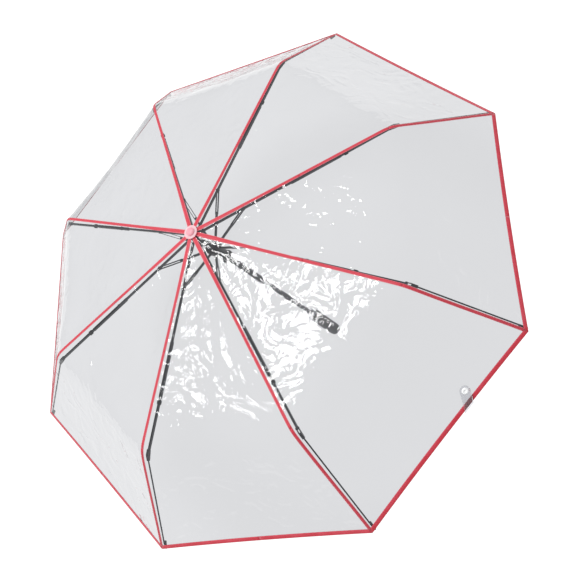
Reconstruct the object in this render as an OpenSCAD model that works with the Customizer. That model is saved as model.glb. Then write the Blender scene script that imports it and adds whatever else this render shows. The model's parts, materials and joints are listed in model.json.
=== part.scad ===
// Children's folding umbrella: clear film canopy on a three-section folding frame.
// Millimetres, +Z up the shaft, origin on the handle's axis at the middle of the grip.

/* [Canopy] */
// Centre of the canopy to a hem corner
canopy_r = 445; // [400:1:560]
// Centre of the canopy to the bend where the skirt starts
bend_r = 312; // [280:1:345]
// Height lost between the centre and the bend
bend_drop = 61; // [45:1:80]
// Height lost between the centre and the hem
hem_drop = 187; // [165:1:225]
// Film thickness
film_t = 0.15; // [0.1:0.01:0.3]
// Binding tape over each seam
seam_w = 7.4; // [5:0.1:10]
// Binding tape round the hem
hem_w = 6.6; // [5:0.1:10]
// Tape thickness
tape_t = 0.3; // [0.2:0.05:0.5]
// Ribs hang this far under the seams
rib_gap = 10.2; // [9:0.1:13]

/* [Ribs] */
// Crown hinge to the stretcher's rivet
stretcher_at = 70; // [62:1:80]
// Crown hinge to the middle rib's rivet
main_len = 165; // [150:1:185]
// Width of the main rib's channel
rib_w = 2.8; // [2.4:0.1:3.6]
// Height of the main rib's channel
rib_h = 2.8; // [2.6:0.1:3.4]
// Sheet steel thickness
sheet_t = 0.4; // [0.3:0.05:0.5]
// Width of the stretchers and of the middle ribs' outer half
slim_w = 2.8; // [2.4:0.1:3.4]
// Outer rib wire radius
wire_r = 1.1; // [0.9:0.05:1.3]
// Middle rib left past its rivet, towards the shaft
tail_len = 18; // [10:1:22]
// Rivet radius
rivet_r = 0.9; // [0.7:0.05:1]

/* [Crown and runner] */
// Radius of the ring of crown hinges
crown_ring = 9; // [8.5:0.1:11]
// Radius of the ring of runner hinges
runner_ring = 9.5; // [9.1:0.1:11]
// Crown hinges to runner hinges, canopy open
open_gap = 48; // [42:1:56]
// Runner hinges to the runner's foot
runner_len = 38; // [32:1:42]

/* [Shaft and handle] */
// Outer radius of the upper tube
tube_r = 5; // [4.6:0.1:5.4]
// Tube wall
tube_wall = 0.5; // [0.4:0.05:0.6]
// Telescoping clearance on radius
slip = 0.08; // [0.05:0.01:0.1]
// Upper tube's foot, below the canopy's centre
upper_end = 210; // [206:1:240]
// Middle tube showing
middle_show = 100; // [70:1:120]
// Lower tube showing
lower_show = 88; // [60:1:110]
// Handle length
handle_len = 114; // [80:1:140]
// Handle radius
handle_r = 11; // [9:0.5:14]

/* [Hidden] */
$fn = 48;
ribs = 8;
step = 360 / ribs;
half_tan = tan(step / 2);
slack = 0.06;
gap = 0.25;
total = upper_end + middle_show + lower_show + handle_len;
grip_len = handle_len - 22;
apex_z = total - handle_len / 2;

// Rib plane: x out from the shaft, y up, measured from the canopy's centre
lean0 = atan2(bend_drop, bend_r);
crown_y = -crown_ring * tan(lean0) - rib_gap;
reach = (bend_r - crown_ring) / cos(lean0);
mid_len = reach - main_len - 4;
rivet_x = crown_ring + stretcher_at * cos(lean0);
rivet_y = crown_y - stretcher_at * sin(lean0);
runner_y = crown_y - open_gap;
st_len = norm([rivet_x - runner_ring, rivet_y - runner_y]);
st_tilt = atan2(rivet_y - runner_y, rivet_x - runner_ring);
joint_x = crown_ring + main_len * cos(lean0);
joint_y = crown_y - main_len * sin(lean0);
knee_x = joint_x + mid_len * cos(lean0);
knee_y = joint_y - mid_len * sin(lean0);
tip_x = canopy_r - 3.4;
tip_y = -hem_drop - 2.2;
outer_len = norm([tip_x - knee_x, tip_y - knee_y]);
outer_tilt = -atan2(knee_y - tip_y, tip_x - knee_x);

// Channels
mid_w = rib_w + 2 * gap + 2 * sheet_t;
mid_floor = -(rib_h / 2 + 0.4 + sheet_t);
mid_top = 1.3;
st_w = rib_w + 0.4 + 2 * sheet_t;
fork_len = 32;
tongue_w = 2.6;
slim_from = 62;
knee_in = slim_w + 0.3;
knee_w = knee_in + 2 * sheet_t;
wire_up = -mid_floor + 0.6 + wire_r;
head_t = 0.5;
head_r = rivet_r + 0.7;
ring_wire = 0.6;

// Tubes
upper_in = tube_r - tube_wall;
mid_r = upper_in - slip;
mid_in = mid_r - tube_wall;
low_r = mid_in - slip;
low_in = low_r - tube_wall;
handle_top = -(upper_end + middle_show + lower_show);

// Telescoping overlap of the tubes
lap = 20;

// Red, clear and black
red = [0.78, 0.24, 0.31];
clear = [0.87, 0.88, 0.89, 0.35];
black = [0.1, 0.1, 0.11];
steel = [0.2, 0.2, 0.22];

// Height of the film's top face, out to a hem corner or its level
function drop(p) = p < bend_r ? -p * bend_drop / bend_r
    : -bend_drop - (p - bend_r) * (hem_drop - bend_drop) / (canopy_r - bend_r);

module at_apex() { translate([0, 0, apex_z]) children(); }

// Places a rib-plane piece at rib k, with its own origin and tilt
module at_rib(k, x, y, tilt) {
    at_apex() rotate([0, 0, k * step]) translate([x, 0, y]) rotate([0, -tilt, 0]) children();
}

// A flat outline in the rib plane, w thick
module slab(w) { rotate([90, 0, 0]) linear_extrude(height = w, center = true) children(); }

module cross_pin(r, w) { rotate([90, 0, 0]) cylinder(h = w, r = r, center = true, $fn = 32); }

// Straight outline with round ends
module capsule(x0, x1, r) {
    translate([x0, -r]) square([x1 - x0, 2 * r]);
    translate([x0, 0]) circle(r = r);
    translate([x1, 0]) circle(r = r);
}

// Rivet heads either side of a w wide stack
module heads(w) {
    for (s = [-1, 1]) translate([0, s * (w + head_t) / 2, 0]) cross_pin(head_r, head_t);
}

// Round wire ring that every hinge of a ring turns on
module ring_loop(ring, r) { rotate_extrude($fn = 96) translate([ring, 0]) circle(r = r, $fn = 24); }

// A hinge eye big enough for the ring's curve across a w wide end
function eye(ring, w) = ring_wire + ring - sqrt(ring * ring - w * w / 4) + slack;

// Closed ring of flat faces: one profile carried round the ribs
module eight_ring(profile) {
    n = len(profile);
    pts = [for (k = [0 : ribs - 1]) for (p = profile)
        [p[0] * cos(k * step), p[0] * sin(k * step), p[1]]];
    faces = [for (k = [0 : ribs - 1]) for (i = [0 : n - 1])
        [k * n + i, ((k + 1) % ribs) * n + i, ((k + 1) % ribs) * n + (i + 1) % n, k * n + (i + 1) % n]];
    polyhedron(points = pts, faces = faces, convexity = 8);
}

module canopy_film() {
    hole = 4.6;
    color(clear) at_apex() eight_ring([[hole, drop(hole) - film_t], [hole, drop(hole)],
        [bend_r, drop(bend_r)], [canopy_r, drop(canopy_r)],
        [canopy_r, drop(canopy_r) - film_t], [bend_r, drop(bend_r) - film_t]]);
}

// One tape folded over a seam: stations of [distance, half width]
module seam_tape(stations, lift) {
    n = len(stations);
    pts = [for (t = [lift, lift + tape_t]) for (s = stations) for (side = [-1, 0, 1])
        [s[0] - abs(side) * s[1] * half_tan, side * s[1], drop(s[0]) + t]];
    low = [for (i = [0 : n - 2]) for (j = [0, 1])
        [3 * i + j, 3 * i + j + 1, 3 * i + j + 4, 3 * i + j + 3]];
    m = 3 * n;
    high = [for (f = low) [f[3] + m, f[2] + m, f[1] + m, f[0] + m]];
    left = [for (i = [0 : n - 2]) [3 * i, 3 * i + 3, 3 * i + 3 + m, 3 * i + m]];
    right = [for (i = [0 : n - 2]) [3 * i + 2 + m, 3 * i + 5 + m, 3 * i + 5, 3 * i + 2]];
    e = 3 * (n - 1);
    ends = [[0, m, m + 1, 1], [1, m + 1, m + 2, 2],
        [e, e + 1, e + 1 + m, e + m], [e + 1, e + 2, e + 2 + m, e + 1 + m]];
    polyhedron(points = pts, faces = concat(low, high, left, right, ends), convexity = 6);
}

module seam_binding() {
    inset = hem_w * cos(atan2(hem_drop - bend_drop, canopy_r - bend_r)) + 0.6;
    color(red) at_apex() for (k = [0 : ribs - 1]) rotate([0, 0, k * step])
        seam_tape([[5.2, 1.5], [12, seam_w / 2], [bend_r, seam_w / 2],
            [canopy_r - inset, seam_w / 2]], 0.08);
}

module hem_binding() {
    a = canopy_r - hem_w * cos(atan2(hem_drop - bend_drop, canopy_r - bend_r));
    b = canopy_r + 0.15;
    c = b + tape_t;
    up = 0.08;
    color(red) at_apex() eight_ring([
        [a, drop(a) + up], [a, drop(a) + up + tape_t], [c, drop(c) + up + tape_t],
        [c, drop(c) - film_t - up - tape_t], [a, drop(a) - film_t - up - tape_t],
        [a, drop(a) - film_t - up], [b, drop(b) - film_t - up], [b, drop(b) + up]]);
}

// Places a flat piece on the skirt of the panel between ribs 8 and 1
module on_skirt(along, up_slope) {
    flat = canopy_r * cos(step / 2);
    pitch = atan2(hem_drop - bend_drop, (canopy_r - bend_r) * cos(step / 2));
    at_apex() rotate([0, 0, step / 2]) translate([flat, along, -hem_drop])
        rotate([0, pitch, 0]) translate([-up_slope, 0, 0]) children();
}

strap_len = 25;
strap_w = 15;
strap_off = 42;
strap_turn = 35;

// Places a piece on the closure strap, x back along it from where it meets the hem
module on_strap(back) {
    on_skirt(strap_off, 0) rotate([0, 0, -strap_turn]) translate([-back, 0, 0]) children();
}

module closure_strap() {
    slant = strap_w / 2 * tan(strap_turn);
    color(clear) on_strap(strap_len) translate([0, 0, 1.0]) difference() {
        linear_extrude(height = 0.5) {
            polygon([[0, -strap_w / 2], [strap_len + slant, -strap_w / 2],
                [strap_len - slant, strap_w / 2], [0, strap_w / 2]]);
            circle(d = strap_w);
        }
        translate([0, 0, -1]) cylinder(h = 3, r = 2.1);
    }
}

module strap_snap() {
    color([0.95, 0.95, 0.95]) on_strap(strap_len) {
        translate([0, 0, 0.75]) cylinder(h = 0.2, r = 4.2);
        translate([0, 0, 0.75]) cylinder(h = 1.2, r = 2);
        translate([0, 0, 1.6]) cylinder(h = 1.3, r1 = 4.6, r2 = 3.8);
    }
}

module cap_disc() {
    color([0.95, 0.7, 0.74, 0.5]) at_apex() difference() {
        translate([0, 0, 0.9]) cylinder(h = 1.1, r = 10.5);
        cylinder(h = 6, r = 3.45, center = true);
    }
}

module top_cap() {
    color([0.95, 0.72, 0.76, 0.6]) at_apex() difference() {
        union() {
            translate([0, 0, 2.05]) cylinder(h = 1.7, r = 6.2);
            translate([0, 0, 3.75]) cylinder(h = 1.4, r1 = 6.2, r2 = 4.2);
        }
        translate([0, 0, 1]) cylinder(h = 3, r = 3.45);
    }
}

module crown_notch() {
    color(black) at_apex() difference() {
        union() {
            translate([0, 0, crown_y - 6]) cylinder(h = 12.6, r = crown_ring + 2.4);
            translate([0, 0, crown_y + 5]) cylinder(h = 3.8 - crown_y - 5, r = 3.4);
            translate([0, 0, crown_y - 22]) cylinder(h = 17, r = upper_in - 0.05);
        }
        for (k = [0 : ribs - 1]) rotate([0, 0, k * step])
            translate([crown_ring - rib_h / 2 - 0.4, -rib_w / 2 - 0.15, crown_y - 7])
                cube([8, rib_w + 0.3, 9.2]);
        translate([0, 0, crown_y]) ring_loop(crown_ring, ring_wire + 0.03);
    }
}

module crown_wire() {
    color(steel) at_apex() translate([0, 0, crown_y]) ring_loop(crown_ring, ring_wire);
}

module tube(top, bottom, r, inner) {
    difference() {
        translate([0, 0, bottom]) cylinder(h = top - bottom, r = r);
        translate([0, 0, bottom - 1]) cylinder(h = top - bottom + 2, r = inner);
    }
}

module upper_tube() {
    color(black) at_apex() tube(crown_y - 6.1, -upper_end, tube_r, upper_in);
}

module tube_ferrule() {
    color(steel) at_apex() tube(-upper_end + 4, -upper_end, tube_r + 0.5, tube_r + 0.02);
}

module middle_tube() {
    color(steel) at_apex() tube(-upper_end + lap, -upper_end - middle_show, mid_r, mid_in);
}

module lower_tube() {
    color(steel) at_apex() tube(-upper_end - middle_show + lap, handle_top - 40, low_r, low_in);
}

module handle_grip() {
    color(black) at_apex() difference() {
        union() {
            translate([0, 0, handle_top - 14]) cylinder(h = 8, r1 = handle_r, r2 = handle_r - 2);
            translate([0, 0, handle_top - 14 - grip_len]) cylinder(h = grip_len, r = handle_r);
        }
        translate([0, 0, handle_top - 42]) cylinder(h = 40, r = low_r + 0.04);
        translate([0, 0, handle_top - 14 - grip_len - 1]) cylinder(h = 9, r = handle_r - 2.4);
    }
}

module handle_collar() {
    color(steel) at_apex() tube(handle_top - 1, handle_top - 5.9, handle_r - 3, low_r + 0.04);
}

module handle_cap() {
    base = handle_top - handle_len;
    color(black) at_apex() {
        translate([0, 0, base]) cylinder(h = 3, r1 = handle_r - 3, r2 = handle_r - 0.4);
        translate([0, 0, base + 3]) cylinder(h = 4.9, r = handle_r - 0.4);
        translate([0, 0, base + 7]) cylinder(h = 6, r = handle_r - 2.5);
    }
}

button_drop = 20;
button_h = 12;
button_w = 6;

module runner_sleeve() {
    color(black) at_apex() translate([0, 0, runner_y]) difference() {
        union() {
            translate([0, 0, -5]) cylinder(h = 8, r = runner_ring + 2.4);
            translate([0, 0, -runner_len]) cylinder(h = runner_len, r = runner_ring - 1.3);
            translate([0, 0, -runner_len]) cylinder(h = 4, r1 = runner_ring + 1, r2 = runner_ring - 1.3);
        }
        cylinder(h = 3 * runner_len, r = tube_r + 0.07, center = true);
        for (k = [0 : ribs - 1]) rotate([0, 0, k * step])
            translate([runner_ring - 2.3, -tongue_w / 2 - 0.2, -2.2]) cube([8, tongue_w + 0.4, 9]);
        ring_loop(runner_ring, ring_wire + 0.03);
        rotate([0, 0, step / 2]) translate([tube_r + 1, -button_w / 2, -button_drop - button_h / 2])
            cube([12, button_w, button_h]);
    }
}

module runner_wire() {
    color(steel) at_apex() translate([0, 0, runner_y]) ring_loop(runner_ring, ring_wire);
}

module release_button() {
    c = 0.15;
    color(red) at_apex() translate([0, 0, runner_y]) rotate([0, 0, step / 2]) intersection() {
        translate([tube_r + 2.6, -button_w / 2 + c, -button_drop - button_h / 2 + c])
            cube([runner_ring - tube_r - 2.1, button_w - 2 * c, button_h - 2 * c]);
        translate([0, 0, -button_drop - button_h / 2]) cylinder(h = button_h, r = runner_ring + 0.6);
    }
}

module main_rib(k) {
    color(steel) at_rib(k, crown_ring, crown_y, -lean0) {
        difference() {
            slab(rib_w) capsule(0, main_len, rib_h / 2);
            slab(rib_w - 2 * sheet_t) translate([5, -rib_h])
                square([main_len - 11, rib_h * 1.5 - sheet_t]);
            cross_pin(eye(crown_ring, rib_w), rib_w + 1);
            translate([stretcher_at, 0, 0]) cross_pin(rivet_r + slack, rib_w + 1);
        }
        translate([main_len, 0, 0]) {
            cross_pin(rivet_r, mid_w + 0.4);
            heads(mid_w + 0.2);
        }
    }
}

module stretcher(k) {
    color(steel) at_rib(k, runner_ring, runner_y, st_tilt) {
        difference() {
            slab(slim_w) translate([9, -rib_h / 2]) square([st_len - fork_len - 9, rib_h]);
            slab(slim_w - 2 * sheet_t) translate([13, -rib_h]) square([st_len, rib_h * 1.5 - sheet_t]);
        }
        difference() {
            slab(st_w) translate([st_len - fork_len - 4, -rib_h / 2]) square([fork_len + 4, rib_h]);
            slab(st_w - 2 * sheet_t) translate([st_len - fork_len, -rib_h])
                square([fork_len + 4, rib_h * 2]);
            slab(slim_w - 2 * sheet_t) translate([8, -rib_h]) square([st_len, rib_h * 1.5 - sheet_t]);
        }
        difference() {
            slab(st_w) translate([st_len, 0]) circle(r = rib_h / 2);
            slab(st_w - 2 * sheet_t) translate([st_len - 4, -rib_h]) square([8, rib_h * 2]);
        }
        difference() {
            slab(tongue_w) capsule(0, 12, rib_h / 2 - 0.1);
            cross_pin(eye(runner_ring, tongue_w), tongue_w + 1);
        }
        translate([st_len, 0, 0]) heads(st_w);
    }
}

module middle_rib(k) {
    color(steel) at_rib(k, joint_x, joint_y, -lean0) {
        difference() {
            slab(mid_w) translate([-tail_len, mid_floor]) square([slim_from + tail_len, mid_top - mid_floor]);
            slab(mid_w - 2 * sheet_t) translate([-tail_len - 1, mid_floor + sheet_t])
                square([slim_from + tail_len + 2, 8]);
            cross_pin(rivet_r + slack, mid_w + 1);
        }
        difference() {
            slab(slim_w) {
                translate([slim_from - 1, mid_floor]) square([mid_len - slim_from + 1, mid_top - mid_floor]);
                translate([mid_len, 0]) intersection() {
                    circle(r = -mid_floor);
                    translate([-4, mid_floor]) square([8, mid_top - mid_floor]);
                }
            }
            slab(slim_w - 2 * sheet_t) translate([slim_from - 2, mid_floor + sheet_t])
                square([mid_len - slim_from - 4, 8]);
        }
        translate([mid_len / 2, 0, 0]) cross_pin(1, slim_w + 1.6);
        translate([mid_len, 0, 0]) {
            cross_pin(rivet_r, knee_w + 0.4);
            heads(knee_w + 0.2);
        }
    }
}

// Straight round wire from a to b in the rib plane
module straight_wire(a, b, r) {
    tilt = atan2(b[1] - a[1], b[0] - a[0]);
    translate([a[0], 0, a[1]]) rotate([0, 90 - tilt, 0]) cylinder(h = norm(b - a), r = r);
}

module outer_rib(k) {
    color(steel) at_rib(k, knee_x, knee_y, outer_tilt) {
        difference() {
            slab(knee_w) polygon([[-1.9, -1.2], [-1.2, -1.9], [1.2, -1.9], [15, wire_up - wire_r - 0.3],
                [15, wire_up + 1.4], [5, wire_up + 1.4], [-1.9, 1.4]]);
            slab(knee_in) translate([-5, -6]) square([11, 16]);
            slab(knee_in) translate([-5, -6]) square([25, 6 - mid_floor + 0.35]);
            cross_pin(rivet_r + slack, knee_w + 1);
        }
        straight_wire([13, wire_up], [outer_len - 8, 1.9], wire_r);
        translate([outer_len, 0, 0]) rotate([0, -94, 0]) {
            cylinder(h = 12, r = 1.9);
            sphere(r = 1.9);
        }
    }
}

crown_notch();
crown_wire();
cap_disc();
top_cap();
canopy_film();
seam_binding();
hem_binding();
closure_strap();
strap_snap();
upper_tube();
tube_ferrule();
middle_tube();
lower_tube();
handle_grip();
handle_collar();
handle_cap();
runner_sleeve();
runner_wire();
release_button();
main_rib(1);  // main_rib_1
main_rib(2);  // main_rib_2
main_rib(3);  // main_rib_3
main_rib(4);  // main_rib_4
main_rib(5);  // main_rib_5
main_rib(6);  // main_rib_6
main_rib(7);  // main_rib_7
main_rib(8);  // main_rib_8
stretcher(1);  // stretcher_1
stretcher(2);  // stretcher_2
stretcher(3);  // stretcher_3
stretcher(4);  // stretcher_4
stretcher(5);  // stretcher_5
stretcher(6);  // stretcher_6
stretcher(7);  // stretcher_7
stretcher(8);  // stretcher_8
middle_rib(1);  // middle_rib_1
middle_rib(2);  // middle_rib_2
middle_rib(3);  // middle_rib_3
middle_rib(4);  // middle_rib_4
middle_rib(5);  // middle_rib_5
middle_rib(6);  // middle_rib_6
middle_rib(7);  // middle_rib_7
middle_rib(8);  // middle_rib_8
outer_rib(1);  // outer_rib_1
outer_rib(2);  // outer_rib_2
outer_rib(3);  // outer_rib_3
outer_rib(4);  // outer_rib_4
outer_rib(5);  // outer_rib_5
outer_rib(6);  // outer_rib_6
outer_rib(7);  // outer_rib_7
outer_rib(8);  // outer_rib_8
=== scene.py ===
"""Children's clear folding umbrella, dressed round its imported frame.

Metres, +Z up the shaft, with the origin on the handle's axis at the middle of
the grip. Rib 8 lies along +X and the ribs count counter-clockwise from above.
"""

import json
import logging
import math
from dataclasses import dataclass, field
from enum import Enum
from typing import Any, Dict, Iterable, List, Sequence, Tuple

import bpy
import numpy as np
from mathutils import Matrix, Vector


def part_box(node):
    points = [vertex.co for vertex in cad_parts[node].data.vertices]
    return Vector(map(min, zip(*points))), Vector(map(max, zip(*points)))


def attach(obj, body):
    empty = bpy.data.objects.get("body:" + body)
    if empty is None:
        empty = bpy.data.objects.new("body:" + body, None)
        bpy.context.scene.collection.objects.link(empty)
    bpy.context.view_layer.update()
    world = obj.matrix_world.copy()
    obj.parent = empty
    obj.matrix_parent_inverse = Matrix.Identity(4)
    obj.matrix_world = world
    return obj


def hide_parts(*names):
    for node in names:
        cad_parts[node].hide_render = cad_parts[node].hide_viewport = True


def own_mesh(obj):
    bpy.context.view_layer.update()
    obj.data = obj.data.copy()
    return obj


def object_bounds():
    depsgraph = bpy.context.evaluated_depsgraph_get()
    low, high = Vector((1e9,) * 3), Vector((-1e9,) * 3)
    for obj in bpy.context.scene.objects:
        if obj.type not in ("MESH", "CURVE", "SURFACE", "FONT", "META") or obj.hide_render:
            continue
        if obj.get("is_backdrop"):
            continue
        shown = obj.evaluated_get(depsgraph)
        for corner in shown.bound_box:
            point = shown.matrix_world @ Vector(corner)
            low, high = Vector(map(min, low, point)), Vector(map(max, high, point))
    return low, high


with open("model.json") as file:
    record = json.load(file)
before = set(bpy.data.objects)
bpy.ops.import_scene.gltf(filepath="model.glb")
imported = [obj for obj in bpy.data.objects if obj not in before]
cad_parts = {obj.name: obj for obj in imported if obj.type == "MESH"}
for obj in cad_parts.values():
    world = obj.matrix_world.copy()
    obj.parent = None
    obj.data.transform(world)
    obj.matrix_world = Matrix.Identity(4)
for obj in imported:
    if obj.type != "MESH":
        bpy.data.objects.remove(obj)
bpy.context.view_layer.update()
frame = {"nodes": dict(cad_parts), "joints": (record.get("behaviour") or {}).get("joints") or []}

LOG = logging.getLogger("umbrella")
MM = 0.001
RIBS = 8
STEP = 2 * math.pi / RIBS

Colour = Tuple[float, float, float]
Loop = Sequence[Tuple[float, float]]


class Slot(Enum):
    """The record's material slots."""

    FILM = "clear_film"
    TAPE = "red_tape"
    STEEL = "frame_steel"
    BLACK_TUBE = "black_tube"
    BRIGHT_TUBE = "bright_tube"
    BLACK_PLASTIC = "black_plastic"
    HANDLE = "handle_plastic"
    PINK = "pink_clear"
    WHITE = "white_plastic"


class Side(Enum):
    """Which side of a rib a piece lies on, seen from above."""

    LEFT = 1
    RIGHT = -1


class Span(Enum):
    """The three lengths of a folding rib, and of the film over it."""

    TOP = "top"
    MIDDLE = "middle"
    SKIRT = "skirt"

    @property
    def body(self) -> str:
        """The kind of rib that carries this span."""
        return {"top": "main_rib", "middle": "middle_rib", "skirt": "outer_rib"}[self.value]


# ---------------------------------------------------------------- finishes


class Wiring:
    """Adds and links the nodes of one material."""

    def __init__(self, tree: bpy.types.NodeTree) -> None:
        """Starts on an empty tree.

        Args:
            tree: the material's node tree.
        """
        self.tree = tree
        self.place = tree.nodes.new("ShaderNodeTexCoord").outputs["Object"]

    def node(self, kind: str, links: Dict[Any, Any] | None = None, **values: Any) -> bpy.types.Node:
        """Makes a node.

        Args:
            kind: the node's Blender type, without its ShaderNode.
            links: input name or number to the socket that feeds it.
            values: plain input values by name, or properties of the node.

        Returns:
            The new node.
        """
        made = self.tree.nodes.new("ShaderNode" + kind)
        for name, value in values.items():
            title = name.replace("_", " ")
            if title in made.inputs:
                made.inputs[title].default_value = value
            else:
                setattr(made, name, value)
        for name, socket in (links or {}).items():
            self.tree.links.new(socket, made.inputs[name])
        return made

    def noise(self, scale: float, detail: float = 3.0, stretch: Colour = (1, 1, 1)) -> bpy.types.NodeSocket:
        """Soft noise over the piece, from 0 to 1."""
        at = self.node("Mapping", {"Vector": self.place}, Scale=stretch)
        made = self.node("TexNoise", {"Vector": at.outputs[0]}, Scale=scale, Detail=detail)
        return made.outputs[0]

    def between(self, fac: bpy.types.NodeSocket, low: float, high: float,
                start: float = 0.3, end: float = 0.7) -> bpy.types.NodeSocket:
        """Spreads a 0 to 1 value over low to high."""
        made = self.node("MapRange", {0: fac})
        for name, value in (("From Min", start), ("From Max", end), ("To Min", low), ("To Max", high)):
            made.inputs[name].default_value = value
        return made.outputs[0]

    def sums(self, operation: str, first: bpy.types.NodeSocket,
             second: bpy.types.NodeSocket | float = 0.0) -> bpy.types.NodeSocket:
        """One step of arithmetic.

        Args:
            operation: Blender's name for it, such as ADD.
            first: the first value.
            second: the second one, or a plain number.

        Returns:
            The result.
        """
        made = self.node("Math", {0: first}, operation=operation)
        if isinstance(second, float):
            made.inputs[1].default_value = second
        else:
            self.tree.links.new(second, made.inputs[1])
        return made.outputs[0]

    def creases(self, scale: float, depth: float) -> bpy.types.NodeSocket:
        """Sharp ridges between soft hollows, from 0 down to minus depth."""
        soft = self.node("TexNoise", {"Vector": self.place}, Scale=scale, Detail=1.5, Distortion=0.9)
        away = self.sums("ABSOLUTE", self.sums("SUBTRACT", soft.outputs[0], 0.5))
        return self.sums("MULTIPLY", away, -2 * depth)

    def blend(self, fac: bpy.types.NodeSocket, dark: Colour, light: Colour) -> bpy.types.NodeSocket:
        """A colour between dark and light."""
        made = self.node("ValToRGB", {0: fac})
        for stop, colour, at in zip(made.color_ramp.elements, (dark, light), (0.25, 0.75)):
            stop.color = (*colour, 1)
            stop.position = at
        return made.outputs[0]

    def bump(self, height: bpy.types.NodeSocket, depth: float, strength: float = 1.0) -> bpy.types.NodeSocket:
        """A normal from a height, depth metres deep."""
        return self.node("Bump", {"Height": height}, Distance=depth, Strength=strength).outputs[0]


@dataclass(frozen=True)
class Finish:
    """A surface finish with its own node material."""

    name: str
    slot: Slot

    def shader(self, w: Wiring) -> bpy.types.NodeSocket:
        """The finish's own shader; each kind has one."""
        raise NotImplementedError

    def material(self) -> bpy.types.Material:
        """Makes the material the first time it is asked for.

        Returns:
            The finish's material.
        """
        found = bpy.data.materials.get(self.name)
        if found is not None:
            return found
        made = bpy.data.materials.new(self.name)
        made.use_nodes = True
        made.node_tree.nodes.clear()
        surface = self.shader(Wiring(made.node_tree))
        out = made.node_tree.nodes.new("ShaderNodeOutputMaterial")
        made.node_tree.links.new(surface, out.inputs["Surface"])
        return made


@dataclass(frozen=True)
class FilmFinish(Finish):
    """Clear soft vinyl film: it passes most light and mirrors a little."""

    tint: Colour = (0.604, 0.608, 0.620)
    haze: float = 0.035
    roughness: float = 0.035
    crease: float = 0.0040

    def shader(self, w: Wiring) -> bpy.types.NodeSocket:
        """Film that glints on its creases."""
        warp = w.noise(9.0, 2.0)
        height = w.sums("ADD", w.creases(24.0, 1.0), w.creases(62.0, 0.2))
        normal = w.bump(height, self.crease, 0.6)
        clear = w.node("BsdfTransparent", Color=(*self.tint, 1))
        mirror = w.node("BsdfGlossy", {"Normal": normal}, Roughness=self.roughness)
        rim = w.node("Fresnel", {"Normal": normal}, IOR=1.43)
        glass = w.node("MixShader", {0: rim.outputs[0], 1: clear.outputs[0], 2: mirror.outputs[0]})
        dust = w.node("BsdfDiffuse", Color=(0.86, 0.87, 0.89, 1))
        share = w.between(warp, self.haze * 0.6, self.haze * 1.5)
        return w.node("MixShader", {0: share, 1: glass.outputs[0], 2: dust.outputs[0]}).outputs[0]


@dataclass(frozen=True)
class TapeFinish(Finish):
    """Woven binding tape, paler where it lies single along its edges: painted light showing through the
    single layer.
    """

    core: Colour = (0.50, 0.022, 0.042)
    # edge: the tape's colour where it lies single, made paler as painted light showing through it
    edge: Colour = (0.68, 0.15, 0.185)
    thread: float = 1500.0

    def shader(self, w: Wiring) -> bpy.types.NodeSocket:
        """Ribbed cloth with a soft sheen."""
        across = w.node("UVMap", uv_map="UVMap").outputs[0]
        split = w.node("SeparateXYZ", {0: across})
        away = w.sums("ABSOLUTE", w.sums("SUBTRACT", split.outputs[1], 0.5))
        # Paler towards the tape's edges: painted light showing through the single layer; the middle, where it
        # lies double, stays darker.
        painted_backlight_edge = w.between(away, 0.0, 1.0, 0.2, 0.48)
        patch = w.noise(60.0, 4.0)
        backlight_and_mottle = w.sums("ADD", painted_backlight_edge, w.between(patch, -0.25, 0.25))
        colour = w.blend(backlight_and_mottle, self.core, self.edge)
        weft = w.node("TexWave", {"Vector": across}, Scale=self.thread / 6.2832, Distortion=0.6)
        weave = w.sums("ADD", weft.outputs[1], w.noise(2600.0, 1.0))
        normal = w.bump(weave, 0.00012, 0.6)
        cloth = w.node("BsdfPrincipled", {"Base Color": colour, "Normal": normal,
                                          "Roughness": w.between(patch, 0.5, 0.68)})
        cloth.inputs["Sheen Weight"].default_value = 0.25
        return cloth.outputs[0]


@dataclass(frozen=True)
class SewingThread(Finish):
    """Twisted sewing thread."""

    colour: Colour = (0.42, 0.03, 0.05)

    def shader(self, w: Wiring) -> bpy.types.NodeSocket:
        """Matt thread with a fine twist."""
        twist = w.noise(3000.0, 1.0)
        dark = tuple(c * 0.7 for c in self.colour)
        thread = w.node("BsdfPrincipled", {"Base Color": w.blend(twist, dark, self.colour),
                                           "Normal": w.bump(twist, 0.0001, 0.5)}, Roughness=0.75)
        return thread.outputs[0]


@dataclass(frozen=True)
class SteelFinish(Finish):
    """Lacquered or plated steel, scuffed along the drawing direction."""

    colour: Colour = (0.028, 0.029, 0.034)
    worn: Colour = (0.055, 0.056, 0.062)
    roughness: float = 0.42
    metallic: float = 0.55
    grain: Colour = (1, 1, 1)

    def shader(self, w: Wiring) -> bpy.types.NodeSocket:
        """Lacquer with rubbed patches and a fine orange peel."""
        rubbed = w.noise(85.0, 5.0, self.grain)
        peel = w.noise(1400.0, 2.0)
        steel = w.node("BsdfPrincipled", {
            "Base Color": w.blend(rubbed, self.colour, self.worn),
            "Roughness": w.between(rubbed, self.roughness - 0.1, self.roughness + 0.12),
            "Normal": w.bump(peel, 0.00004, 0.5),
        }, Metallic=self.metallic)
        return steel.outputs[0]


@dataclass(frozen=True)
class PlasticFinish(Finish):
    """Moulded plastic with a fine spark-eroded texture."""

    colour: Colour = (0.018, 0.018, 0.021)
    worn: Colour = (0.035, 0.035, 0.04)
    roughness: float = 0.45
    texture: float = 1800.0
    depth: float = 0.00006

    def shader(self, w: Wiring) -> bpy.types.NodeSocket:
        """Grained plastic, a little shinier where it is handled."""
        handled = w.noise(40.0, 3.0)
        grain = w.noise(self.texture, 3.0)
        plastic = w.node("BsdfPrincipled", {
            "Base Color": w.blend(handled, self.colour, self.worn),
            "Roughness": w.between(handled, self.roughness - 0.08, self.roughness + 0.1),
            "Normal": w.bump(grain, self.depth, 0.7),
        })
        return plastic.outputs[0]


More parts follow.
